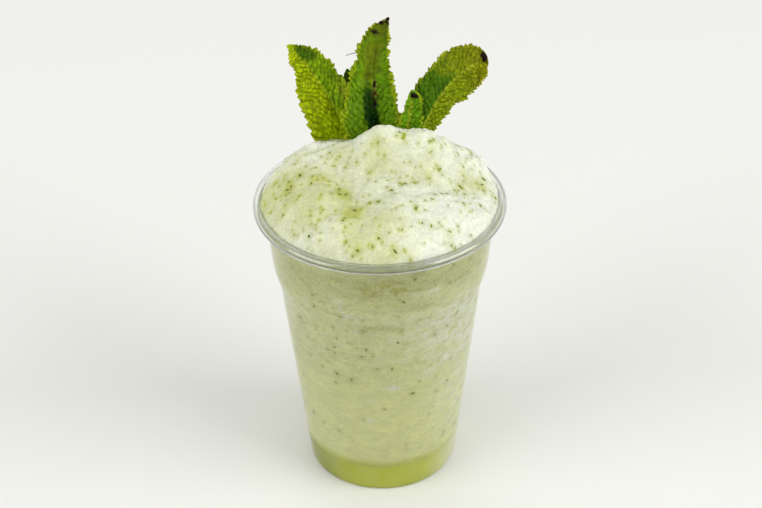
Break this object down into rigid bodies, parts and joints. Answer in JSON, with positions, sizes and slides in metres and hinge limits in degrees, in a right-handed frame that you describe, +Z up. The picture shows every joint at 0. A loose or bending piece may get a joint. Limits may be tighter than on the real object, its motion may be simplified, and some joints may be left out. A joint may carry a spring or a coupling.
{
  "type": "mint lemonade slush in a clear cup",
  "caption": "Frozen mint lemonade heaped above the curled rim of a clear tapered plastic cup, with chopped mint in the slush, a settled green layer below and mint leaves standing in the top.",
  "frame": {"origin": "on the cup's axis, on the plane that its foot ring rests on", "axes": "+Z up along the cup's axis, -Y towards the front of the picture, with the mint leaves behind the peak on the +Y side, +X to the right in it"},
  "size_m": [0.095, 0.095, 0.1777],
  "materials": {
    "clear_plastic": "smooth clear thermoformed PET",
    "settled_lemonade": "clear green syrup, smooth",
    "lemon_slush": "wet fine-grained ice",
    "mint_leaf": "fresh leaf, satin, veined and bumpy"
  },
  "bodies": {
    "root": {"cup": "clear_plastic", "settled_lemonade": "settled_lemonade", "slush": "lemon_slush", "mint_leaf_left": "mint_leaf", "mint_leaf_centre": "mint_leaf", "mint_leaf_right": "mint_leaf", "mint_leaf_right_small": "mint_leaf", "mint_leaf_back": "mint_leaf"}
  },
  "joints": []
}
